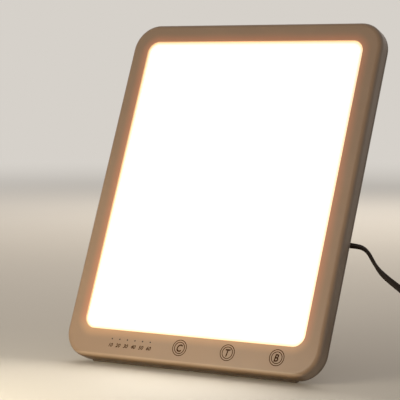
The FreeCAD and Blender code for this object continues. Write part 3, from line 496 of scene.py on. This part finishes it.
def panel_matrix(across, up, depth=0.0):
    """Turns a flat drawing, x across and y up, to lie on the panel's face."""
    turn = Matrix((Vector((1, 0, 0)), UPWARD, -BACKWARD)).transposed().to_4x4()
    return Matrix.Translation(on_panel(across, up, depth)) @ turn


def window_distance(tree):
    """How far the shaded point is outside the window's rounded edge, below zero inside it,
    how far it is above the window's middle, along the panel, and how far behind the face."""
    turn = Matrix((Vector((1, 0, 0)), BACKWARD, UPWARD))
    centre = on_panel(0, BOTTOM_BORDER + WINDOW_HEIGHT / 2)
    mapping = add_node(tree, "ShaderNodeMapping")
    mapping.inputs["Rotation"].default_value = turn.to_euler()
    mapping.inputs["Location"].default_value = -(turn @ centre)
    tree.links.new(place_socket(tree), mapping.inputs["Vector"])
    parts = add_node(tree, "ShaderNodeSeparateXYZ")
    tree.links.new(mapping.outputs["Vector"], parts.inputs[0])
    squares = None
    inner = None
    for socket, half in ((parts.outputs["X"], WINDOW_WIDTH / 2), (parts.outputs["Z"], WINDOW_HEIGHT / 2)):
        past = math_node(tree, "SUBTRACT", math_node(tree, "ABSOLUTE", socket), half - WINDOW_CORNER)
        outside = math_node(tree, "MAXIMUM", past, 0.0)
        square = math_node(tree, "MULTIPLY", outside, outside)
        squares = square if squares is None else math_node(tree, "ADD", squares, square)
        inner = past if inner is None else math_node(tree, "MAXIMUM", inner, past)
    outer = math_node(tree, "SQRT", squares)
    inner = math_node(tree, "MINIMUM", inner, 0.0)
    distance = math_node(tree, "SUBTRACT", math_node(tree, "ADD", outer, inner), WINDOW_CORNER)
    return distance, parts.outputs["Z"], parts.outputs["Y"]


# ---------------------------------------------------------------- surfaces

TAN = srgb(166, 135, 107)
# A paler tone along the frame's lower edge: a painted highlight.
PAINTED_HIGHLIGHT_TAN = srgb(186, 156, 126)
# Painted shade: darker, greyer tones for the side walls and the underside, where less light falls.
SHADED_SIDE_TAN = srgb(148, 129, 113)
SHADED_UNDER_TAN = srgb(128, 100, 72)
# The window's light painted on the frame as a warm tint, paler by the window's lower edge.
PAINTED_GLOW = srgb(190, 132, 100)
PAINTED_GLOW_BELOW = srgb(190, 150, 112)
GLOW = srgb(255, 172, 128)
LIP_GLOW = srgb(255, 246, 180)
INK = srgb(62, 34, 12)

# The front frame's looks change over these runs of distance, each given as (from, to).
LIP_RUN = (-0.3 * MM, 0.7 * MM)          # out from the window's edge: the lip that the light fills
PAINTED_GLOW_RUN = (1.0 * MM, 9.0 * MM)        # out from the window's edge: the window's light painted on as a warm tint and glow
PAINTED_GLOW_UNEVEN = 3.0 * MM                 # how far noise shifts the painted glow
BELOW_RUN = (-1.0 * MM, 9.0 * MM)        # up from the window's lower edge: the paler painted glow ends
UNDER_SHADE_RUN = (0.5 * MM, 2.2 * MM)         # up from the underside: its painted shade ends
HIGHLIGHT_START_RUN = (1.0 * MM, 1.9 * MM)    # up from the underside: the painted highlight starts
HIGHLIGHT_END_RUN = (2.5 * MM, 3.3 * MM)      # up from the underside: the painted highlight ends
SIDE_SHADE_RUN = (0.3 * MM, 2.2 * MM)        # back from the face: the side walls' painted shade starts
LIP_STRENGTH = 0.6
# The frame's own glow near the window: painted light.
PAINTED_GLOW_STRENGTH = 0.09

# The diffuser's looks change over these runs of distance from the window's edge.
OPAL_RIM_RUN = (-2.3 * MM, -0.1 * MM)
OPAL_FADE_RUN = (-6.5 * MM, -1.9 * MM)
OPAL_STRENGTH = 4.5
OPAL_RIM_STRENGTH = 0.68


def frame_surface():
    """The front frame: satin tan plastic with the window's glow painted on as a warm tint near the window,
    whose light shines into its lip, a painted highlight along its lower edge, and painted shade down its
    side walls and underneath."""
    made, shader = new_surface("frame_plastic", TAN, roughness=0.36)
    tree = made.node_tree
    distance, height, depth = window_distance(tree)
    window_low = -WINDOW_HEIGHT / 2
    underside = window_low - BOTTOM_BORDER
    plain = mixed(tree, clouds(tree, scale=22, detail=4), shade(TAN, 0.96), shade(TAN, 1.04))
    # Painted light: the window's glow as a warm tint near the window, paler along its lower edge.
    glow_tint = mixed(tree, fading(tree, height, window_low, BELOW_RUN, 1, 0), PAINTED_GLOW, PAINTED_GLOW_BELOW)
    uneven = math_node(tree, "MULTIPLY", noise(tree, scale=14, detail=2), PAINTED_GLOW_UNEVEN)
    # How near the window, with noise: where the painted glow lies.
    near = fading(tree, math_node(tree, "ADD", distance, uneven), 0, PAINTED_GLOW_RUN, 1, 0)
    face = mixed(tree, near, plain, glow_tint)
    # A painted highlight: a paler band along the face's lower edge.
    highlight_start = fading(tree, height, underside, HIGHLIGHT_START_RUN, 0, 1)
    highlight_end = fading(tree, height, underside, HIGHLIGHT_END_RUN, 1, 0)
    face = mixed(tree, math_node(tree, "MULTIPLY", highlight_start, highlight_end), face, PAINTED_HIGHLIGHT_TAN)
    # Painted shade: the side walls and the underside take darker colours for where less light falls on
    # them.
    side = mixed(tree, fading(tree, height, underside, UNDER_SHADE_RUN, 1, 0), SHADED_SIDE_TAN, SHADED_UNDER_TAN)
    behind = fading(tree, depth, 0, SIDE_SHADE_RUN, 0, 1)
    tree.links.new(mixed(tree, behind, face, side), shader.inputs["Base Color"])
    gloss = clouds(tree, scale=70, detail=3, to_low=0.32, to_high=0.4)
    tree.links.new(gloss, shader.inputs["Roughness"])
    lip = fading(tree, distance, 0, LIP_RUN, 1, 0)
    tree.links.new(mixed(tree, lip, GLOW, LIP_GLOW), shader.inputs["Emission Color"])
    lip_light = math_node(tree, "MULTIPLY", lip, LIP_STRENGTH)
    fringe_light = math_node(tree, "MULTIPLY", near, PAINTED_GLOW_STRENGTH)
    tree.links.new(math_node(tree, "ADD", lip_light, fringe_light), shader.inputs["Emission Strength"])
    wave = bumped(tree, shader, noise(tree, scale=45, detail=2), depth=0.04 * MM)
    bumped(tree, shader, cells(tree, scale=2800), depth=0.012 * MM, before=wave)
    return made


def opal_surface():
    """The diffuser, lit from behind: white, creamy along its rim where less light reaches it."""
    made, shader = new_surface("opal_plate", srgb(236, 230, 220), roughness=0.35)
    tree = made.node_tree
    distance, _, _ = window_distance(tree)
    spots = clouds(tree, scale=9, detail=2, to_low=0, to_high=0.3)
    white = mixed(tree, spots, srgb(255, 254, 250), srgb(255, 250, 240))
    rim = fading(tree, distance, 0, OPAL_RIM_RUN, 0, 1)
    tree.links.new(mixed(tree, rim, white, srgb(255, 216, 140)), shader.inputs["Emission Color"])
    strength = fading(tree, distance, 0, OPAL_FADE_RUN, OPAL_STRENGTH, OPAL_RIM_STRENGTH)
    tree.links.new(strength, shader.inputs["Emission Strength"])
    bumped(tree, shader, cells(tree, scale=3200), depth=0.008 * MM)
    return made


def board_surface():
    """Green solder resist over copper tracks that show as slightly raised, lighter lines."""
    green = srgb(28, 98, 62)
    made, shader = new_surface("circuit_board", green, roughness=0.32)
    tree = made.node_tree
    edges = cells(tree, scale=260, feature="DISTANCE_TO_EDGE")
    tracks = ranged(tree, edges, low=0.02, high=0.06, to_low=1, to_high=0)
    tree.links.new(mixed(tree, tracks, green, srgb(44, 128, 80)), shader.inputs["Base Color"])
    bumped(tree, shader, tracks, depth=0.03 * MM)
    return made


def clear_surface():
    """Clear acrylic with light-scattering dots, far finer than a picture shows."""
    made, shader = new_surface("clear_acrylic", srgb(240, 246, 250), roughness=0.08)
    tree = made.node_tree
    shader.inputs["Transmission Weight"].default_value = 0.9
    shader.inputs["IOR"].default_value = 1.49
    dots = ranged(tree, cells(tree, scale=700), low=0.0004, high=0.0007, to_low=1, to_high=0)
    gloss = ranged(tree, dots, low=0, high=1, to_low=0.06, to_high=0.5)
    tree.links.new(gloss, shader.inputs["Roughness"])
    bumped(tree, shader, dots, depth=0.03 * MM)
    return made


def smoked_surface():
    """Smoked acrylic light pipes, dark while their indicator is off."""
    dark = srgb(58, 38, 24)
    made, shader = new_surface("smoked_acrylic", dark, roughness=0.3)
    tree = made.node_tree
    cloud = clouds(tree, scale=1500, detail=2)
    tree.links.new(mixed(tree, cloud, shade(dark, 0.8), shade(dark, 1.2)), shader.inputs["Base Color"])
    bumped(tree, shader, cloud, depth=0.01 * MM)
    return made


def woven_surface():
    """The woven strap: crossing threads about half a millimetre apart."""
    colour = srgb(30, 29, 28)
    made, shader = new_surface("tie_plastic", colour, roughness=0.85)
    tree = made.node_tree
    waves = []
    for direction in ("X", "Z"):
        wave = add_node(tree, "ShaderNodeTexWave", wave_type="BANDS", bands_direction=direction)
        wave.inputs["Scale"].default_value = 320
        tree.links.new(place_socket(tree), wave.inputs["Vector"])
        waves.append(wave.outputs["Fac"])
    weave = math_node(tree, "MULTIPLY", waves[0], waves[1])
    tree.links.new(mixed(tree, weave, shade(colour, 0.7), shade(colour, 1.5)), shader.inputs["Base Color"])
    bumped(tree, shader, weave, depth=0.15 * MM)
    shader.inputs["Sheen Weight"].default_value = 0.3
    return made


def print_surface():
    """Pad-printed ink, a little uneven in its cover."""
    made, shader = new_surface("print_ink", INK, roughness=0.75)
    shader.inputs["Specular IOR Level"].default_value = 0.2
    tree = made.node_tree
    cover = ranged(tree, noise(tree, scale=900, detail=3), low=0.35, high=0.65, to_low=0, to_high=1)
    tree.links.new(mixed(tree, cover, shade(INK, 1.25), shade(INK, 0.85)), shader.inputs["Base Color"])
    bumped(tree, shader, cover, depth=0.01 * MM)
    return made


def led_surface():
    """White LED packages: a pale housing around yellow phosphor."""
    made, shader = new_surface("led_package", srgb(240, 222, 140), roughness=0.3)
    tree = made.node_tree
    speck = ranged(tree, noise(tree, scale=500, detail=2), low=0.4, high=0.6, to_low=0, to_high=1)
    tint = mixed(tree, speck, srgb(236, 214, 120), srgb(250, 244, 214))
    tree.links.new(tint, shader.inputs["Base Color"])
    shader.inputs["Emission Color"].default_value = srgb(255, 236, 200)
    shader.inputs["Emission Strength"].default_value = 0.6
    bumped(tree, shader, speck, depth=0.02 * MM)
    return made


# Moulded and cast pieces: what moulded() makes of each slot.
PLASTICS = {
    "cover_plastic": dict(colour=srgb(130, 114, 101), roughness=0.52, grain=0.04 * MM, grain_scale=1500),
    "foam": dict(colour=srgb(52, 50, 48), roughness=0.95, grain=0.2 * MM, grain_scale=1400, mottle=0.2),
    "white_film": dict(colour=srgb(240, 240, 238), roughness=0.6, mottle=0.02),
    "connector_plastic": dict(colour=srgb(226, 220, 204), roughness=0.5, grain=0.02 * MM),
    "ribbon_film": dict(colour=srgb(214, 212, 206), roughness=0.4, mottle=0.08),
    "chip_plastic": dict(colour=srgb(34, 34, 36), roughness=0.6, grain=0.02 * MM, grain_scale=4000),
    "wire_insulation": dict(colour=srgb(158, 34, 26), roughness=0.4),
    "foot_rubber": dict(
        colour=srgb(130, 113, 96), roughness=0.85, grain=0.06 * MM, grain_scale=1800, mottle=0.12,
    ),
    "cord_plastic": dict(
        colour=srgb(42, 31, 21), roughness=0.6, grain=0.01 * MM, mottle=0.15, shine=0.25,
    ),
    "adapter_plastic": dict(
        colour=srgb(36, 34, 33), roughness=0.5, grain=0.05 * MM, grain_scale=1600, mottle=0.1,
    ),
}
# Metal pieces: what sheet_metal() makes of each slot.
METALS = {
    "aluminium_sheet": dict(colour=srgb(200, 202, 205), roughness=0.38),
    "screw_steel": dict(colour=srgb(88, 84, 80), roughness=0.36, along=(1, 1, 1)),
    "capacitor_can": dict(colour=srgb(70, 74, 92), roughness=0.35),
    "contact_metal": dict(colour=srgb(212, 208, 198), roughness=0.2, along=(10, 1, 1)),
    "pin_steel": dict(colour=srgb(176, 176, 178), roughness=0.28, along=(14, 1, 1)),
}


def make_surfaces():
    """Every slot's surface, and the two that only pieces of this scene have: ink and smoked acrylic."""
    made = {name: moulded(name, **finish) for name, finish in PLASTICS.items()}
    made.update({name: sheet_metal(name, **finish) for name, finish in METALS.items()})
    made.update({
        "frame_plastic": frame_surface(),
        "opal_plate": opal_surface(),
        "clear_acrylic": clear_surface(),
        "led_package": led_surface(),
        "circuit_board": board_surface(),
        "tie_plastic": woven_surface(),
        "print_ink": print_surface(),
        "smoked_acrylic": smoked_surface(),
    })
    return made


def dress_nodes():
    """Every node takes the surface of its slot, which its packed material is named after, but the
    light pipes are of smoked acrylic."""
    for name, node in nodes.items():
        slot = node.data.materials[0].name.split(".")[0]
        node.data.materials.clear()
        node.data.materials.append(surfaces["smoked_acrylic" if name == "light_pipes" else slot])


# ---------------------------------------------------------------- printed legends

KEY_PLACES = [(-5.4 * MM, "C"), (31.35 * MM, "T"), (68.1 * MM, "B")]
KEY_UP = 11.8 * MM
KEY_RADIUS = 5.5 * MM
KEY_INNER_SHARE = 0.74       # the inner ring's radius as a share of the outer one's
KEY_LINE = 0.54 * MM
RING_STEPS = 72
KEY_LETTER = 5.0 * MM
KEY_SQUEEZE = 0.86           # how narrow the letters are
KEY_SLANT = 0.22             # how far the letters lean to the right, for each unit of height
KEY_WEIGHT = 0.18 * MM       # how much bolder than the plain type each letter's outline is
DOT_FIRST = -59.7 * MM
DOT_PITCH = 6.15 * MM
NUMBERS = ["10", "20", "30", "40", "50", "60"]
NUMBER_UP = 9.3 * MM
NUMBER_BESIDE = 0.25 * MM    # how far left of its dot each number stands
NUMBER_SIZE = 2.6 * MM
NUMBER_SLANT = 0.3
NUMBER_WEIGHT = 0.10 * MM
PRINT_DEPTH = -0.02 * MM     # of the print's middle, which is in front of the face
PRINT_THICK = 0.02 * MM
CAPITAL_SHARE = 0.73         # height of a capital letter as a share of the type's size
TYPE_STEPS = 4               # points for each curve of a letter


def dress_print(made):
    """A piece of print on the panel's face."""
    dress(made, "panel", "frame_plastic", surfaces["print_ink"])


def ring_mesh(across, up, radius, line):
    """A printed circle: a thin flat ring with a little thickness, so that it is a closed solid."""
    sections = []
    place = panel_matrix(across, up, PRINT_DEPTH)
    lift = Vector((0, 0, PRINT_THICK / 2))
    for i in range(RING_STEPS):
        angle = math.tau * i / RING_STEPS
        out = Vector((math.cos(angle), math.sin(angle), 0))
        inner = out * (radius - line)
        outer = out * radius
        corners = [inner - lift, outer - lift, outer + lift, inner + lift]
        sections.append([place @ corner for corner in corners])
    return loft(sections, closed=True)


def text_mesh(name, text, across, up, height, slant, weight, squeeze=1.0):
    """Letters as thin closed solids, centred on a place of the panel's face."""
    data = bpy.data.curves.new(name, "FONT")
    data.body = text
    data.size = height / CAPITAL_SHARE
    data.align_x = "CENTER"
    data.shear = slant
    data.offset = weight
    data.extrude = PRINT_THICK / 2
    data.resolution_u = TYPE_STEPS
    source = new_object(name + "_text", data)
    bpy.context.view_layer.update()
    mesh = bpy.data.meshes.new_from_object(source)
    bpy.data.objects.remove(source)
    middle = Matrix.Translation((-slant * height / 2, -height / 2, 0))
    mesh.transform(panel_matrix(across, up, PRINT_DEPTH) @ middle @ Matrix.Diagonal((squeeze, 1, 1, 1)))
    mesh.name = name
    return mesh


def add_legends():
    """Two rings and a letter for each touch key, and a number under each timer dot."""
    for index, (across, letter) in enumerate(KEY_PLACES, 1):
        for ring, radius in (("outer", KEY_RADIUS), ("inner", KEY_RADIUS * KEY_INNER_SHARE)):
            points, faces = ring_mesh(across, KEY_UP, radius, KEY_LINE)
            dress_print(finish_mesh(mesh_object(f"key_{index}_{ring}_ring", points, faces)))
        name = f"key_{index}_letter"
        mesh = text_mesh(name, letter, across, KEY_UP, KEY_LETTER, KEY_SLANT, KEY_WEIGHT, KEY_SQUEEZE)
        dress_print(new_object(name, mesh))
    for index, number in enumerate(NUMBERS):
        across = DOT_FIRST + index * DOT_PITCH - NUMBER_BESIDE
        name = f"timer_number_{number}"
        mesh = text_mesh(name, number, across, NUMBER_UP, NUMBER_SIZE, NUMBER_SLANT, NUMBER_WEIGHT)
        dress_print(new_object(name, mesh))


# ---------------------------------------------------------------- cover screws

SCREW_HEAD = 1.9 * MM
SCREW_HEAD_THICK = 1.3 * MM
SCREW_SHANK = 1.0 * MM
SCREW_THREAD = 0.45 * MM     # pitch of the thread
SCREW_ROOT = 0.8 * MM        # radius between the thread's turns
# The head's outline from its rim to its crown: share of the head's radius, and depth below its top.
SCREW_CROWN = [(1.0, 0.42 * MM), (0.93, 0.24 * MM), (0.75, 0.09 * MM), (0.4, 0.01 * MM)]
SCREW_STEPS = 28
SCREW_APART = 5 * MM         # points nearer than this, seen from behind, are of one screw
SCREW_SPIN = math.radians(67)     # how much further each screw is turned than the one before
RECESS_REACH = 1.15 * MM
RECESS_HALF = 0.24 * MM
RECESS_DEPTH = 0.8 * MM
RECESS_ABOVE = 0.2 * MM      # how far the cutting shape stands out of the head
RECESS_TAPER = (0.55, 0.7)   # the recess's floor as shares of its mouth


def screw_places():
    """The middle of each screw's head top and the screw's length, read from the solids' node."""
    groups = []
    for vertex in nodes["cover_screws"].data.vertices:
        place = vertex.co - PANEL_ORIGIN
        seen = Vector((place.x, place.dot(UPWARD)))
        for group in groups:
            if (group[0] - seen).length < SCREW_APART:
                group[1].append(vertex.co.copy())
                break
        else:
            groups.append((seen, [vertex.co.copy()]))
    found = []
    for _, places in groups:
        depths = [place.dot(BACKWARD) for place in places]
        ups = [place.dot(UPWARD) for place in places]
        across = [place.x for place in places]
        middle = Vector(((min(across) + max(across)) / 2, 0, 0))
        middle += UPWARD * (min(ups) + max(ups)) / 2 + BACKWARD * max(depths)
        found.append((middle, max(depths) - min(depths)))
    return found


def screw_mesh(length):
    """One pan-head screw along Z with its head's top at the origin: head, thread and cross recess."""
    profile = []
    depth = length
    turn = 0
    while depth > SCREW_HEAD_THICK + SCREW_THREAD:
        profile.append((SCREW_SHANK if turn % 2 else SCREW_ROOT, -depth))
        depth -= SCREW_THREAD / 2
        turn += 1
    profile += [(SCREW_SHANK, -SCREW_HEAD_THICK), (SCREW_HEAD, -SCREW_HEAD_THICK)]
    profile += [(SCREW_HEAD * share, -down) for share, down in SCREW_CROWN]
    angles = [math.tau * i / SCREW_STEPS for i in range(SCREW_STEPS)]
    sections = []
    for radius, height in profile:
        sections.append([Vector((radius * math.cos(a), radius * math.sin(a), height)) for a in angles])
    points, faces = loft(sections)
    body = mesh_object("screw_body", points, faces)
    outline = []
    for quarter in range(4):
        turned = Matrix.Rotation(quarter * math.pi / 2, 2)
        for x, y in ((RECESS_HALF, RECESS_HALF), (RECESS_REACH, RECESS_HALF), (RECESS_REACH, -RECESS_HALF)):
            outline.append(turned @ Vector((x, -y)))
    top = [Vector((p.x, p.y, RECESS_ABOVE)) for p in outline]
    bottom = [Vector((p.x * RECESS_TAPER[0], p.y * RECESS_TAPER[1], -RECESS_DEPTH)) for p in outline]
    points, faces = loft([bottom, top])
    cutter = mesh_object("screw_recess", points, faces)
    for made in (body, cutter):
        finish_mesh(made)
    cut = body.modifiers.new("recess", "BOOLEAN")
    cut.operation = "DIFFERENCE"
    cut.object = cutter
    bpy.context.view_layer.update()
    mesh = bpy.data.meshes.new_from_object(body.evaluated_get(bpy.context.evaluated_depsgraph_get()))
    for made in (body, cutter):
        bpy.data.objects.remove(made)
    return mesh


def add_screws():
    """All the cover's screws as one piece, each turned as it happened to stop."""
    turn = Matrix((Vector((1, 0, 0)), -UPWARD, BACKWARD)).transposed().to_4x4()
    places = screw_places()
    single = screw_mesh(places[0][1])
    joined = bmesh.new()
    for index, (place, _) in enumerate(places):
        copy = single.copy()
        spin = Matrix.Rotation(index * SCREW_SPIN, 4, "Z")
        copy.transform(Matrix.Translation(place) @ turn @ spin)
        joined.from_mesh(copy)
        bpy.data.meshes.remove(copy)
    mesh = bpy.data.meshes.new("cross_screws")
    joined.to_mesh(mesh)
    joined.free()
    screws = finish_mesh(new_object("cross_screws", mesh))
    dress(screws, "panel", "screw_steel", surfaces["screw_steel"], "cover_screws")


# ---------------------------------------------------------------- web between the feet

WEB_HALF = 1.7 * MM          # reaches a little into the ends of both feet
WEB_INSET = 0.5 * MM         # narrower than the feet, each side
WEB_LOW = 0.15 * MM
WEB_HIGH = 1.35 * MM         # just into the case's lowest edge
WEB_ROUND = 0.6 * MM
WEB_STEPS = 4


def add_foot_web():
    """The thin web that joins the two rubber feet across the middle, rounded along its lower side."""
    low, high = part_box("rubber_feet")
    front = low.y + WEB_INSET
    back = high.y - WEB_INSET
    outline = [(back, WEB_HIGH), (front, WEB_HIGH)]
    for centre, start in ((front + WEB_ROUND, math.pi), (back - WEB_ROUND, math.pi * 1.5)):
        for i in range(WEB_STEPS + 1):
            angle = start + math.pi / 2 * i / WEB_STEPS
            outline.append((
                centre + WEB_ROUND * math.cos(angle),
                WEB_LOW + WEB_ROUND + WEB_ROUND * math.sin(angle),
            ))
    points, faces = loft([[(x, y, z) for y, z in outline] for x in (-WEB_HALF, WEB_HALF)])
    web = finish_mesh(mesh_object("foot_web", points, faces))
    dress(web, "panel", "foot_rubber", surfaces["foot_rubber"])


# ---------------------------------------------------------------- stage

FLOOR = srgb(222, 213, 200)
BACKDROP = srgb(214, 209, 202)
FLOOR_REACH = 8.0
FADE_FROM = 0.7              # distances over which the floor takes the backdrop's colour
FADE_TO = 2.6
WORLD_COLOUR = (1.0, 0.96, 0.91, 1.0)
WORLD_STRENGTH = 0.24
PANEL_MIDDLE = (0, 0, 0.1)   # about the panel's middle, which the large lamps face
# The studio's lamps: name, place, place that it faces, width and height, watts, colour, and
# whether glossy surfaces mirror it. The back lamp would burn out the outline's edges if they did.
LAMPS = [
    ("key", (-0.55, -1.1, 0.75), PANEL_MIDDLE, (0.8, 0.8), 2.1, (1.0, 0.95, 0.88), True),
    ("low", (-0.08, -0.28, 0.09), (-0.05, -0.05, 0.02), (0.20, 0.10), 0.28, (1.0, 0.93, 0.72), True),
    ("back", (-0.5, 1.3, 0.8), PANEL_MIDDLE, (1.2, 0.7), 11, (1.0, 0.97, 0.93), False),
]


def unlit_share(tree):
    """1 for what the camera sees directly or in gloss and glass, 0 for light that falls on things."""
    paths = add_node(tree, "ShaderNodeLightPath")
    direct = math_node(tree, "MAXIMUM", paths.outputs["Is Camera Ray"], paths.outputs["Is Glossy Ray"])
    return math_node(tree, "MAXIMUM", direct, paths.outputs["Is Transmission Ray"])


def add_floor():
    """A pale floor that keeps the lamp's shadow and runs into the backdrop's colour far off."""
    corners = [(x * FLOOR_REACH, y * FLOOR_REACH, 0) for x, y in ((-1, -1), (1, -1), (1, 1), (-1, 1))]
    floor = mesh_object("floor", corners, [(0, 1, 2, 3)])
    surface, shader = new_surface("floor", FLOOR, roughness=0.7)
    shader.inputs["Specular IOR Level"].default_value = 0.3
    tree = surface.node_tree
    tint = mixed(tree, clouds(tree, scale=3, detail=3), shade(FLOOR, 0.985), shade(FLOOR, 1.015))
    tree.links.new(tint, shader.inputs["Base Color"])
    far = add_node(tree, "ShaderNodeEmission")
    far.inputs["Color"].default_value = BACKDROP
    length = add_node(tree, "ShaderNodeVectorMath", operation="LENGTH")
    tree.links.new(place_socket(tree), length.inputs[0])
    fade = ranged(tree, length.outputs["Value"], FADE_FROM, FADE_TO, 0, 1, smooth=True)
    mix = add_node(tree, "ShaderNodeMixShader")
    tree.links.new(math_node(tree, "MULTIPLY", fade, unlit_share(tree)), mix.inputs["Fac"])
    tree.links.new(shader.outputs[0], mix.inputs[1])
    tree.links.new(far.outputs[0], mix.inputs[2])
    output = [node for node in tree.nodes if node.type == "OUTPUT_MATERIAL"][0]
    tree.links.new(mix.outputs[0], output.inputs["Surface"])
    floor.data.materials.append(surface)


def add_world():
    """A soft even light all round; the camera, gloss and glass see the backdrop's colour instead."""
    world = bpy.data.worlds.new("studio")
    bpy.context.scene.world = world
    world.use_nodes = True
    tree = world.node_tree
    tree.nodes.clear()
    output = add_node(tree, "ShaderNodeOutputWorld")
    light = add_node(tree, "ShaderNodeBackground")
    light.inputs["Color"].default_value = WORLD_COLOUR
    light.inputs["Strength"].default_value = WORLD_STRENGTH
    seen = add_node(tree, "ShaderNodeBackground")
    seen.inputs["Color"].default_value = BACKDROP
    mix = add_node(tree, "ShaderNodeMixShader")
    tree.links.new(unlit_share(tree), mix.inputs["Fac"])
    tree.links.new(light.outputs[0], mix.inputs[1])
    tree.links.new(seen.outputs[0], mix.inputs[2])
    tree.links.new(mix.outputs[0], output.inputs["Surface"])


def add_light(name, place, target, size, power, colour, glossy):
    """A soft rectangular lamp that faces its target."""
    data = bpy.data.lights.new(name, "AREA")
    data.shape = "RECTANGLE"
    data.size, data.size_y = size
    data.energy = power
    data.color = colour
    light = bpy.data.objects.new(name, data)
    bpy.context.scene.collection.objects.link(light)
    light.location = place
    light.rotation_euler = (Vector(place) - Vector(target)).to_track_quat("Z", "Y").to_euler()
    light.visible_glossy = glossy


# ---------------------------------------------------------------- all together

add_camera()
surfaces = make_surfaces()
twin_lead, lead_line = add_lead()
add_strap()
dress_nodes()
add_legends()
add_screws()
add_foot_web()
add_floor()
add_world()
for lamp in LAMPS:
    add_light(*lamp)
bpy.context.scene.view_settings.view_transform = "Standard"
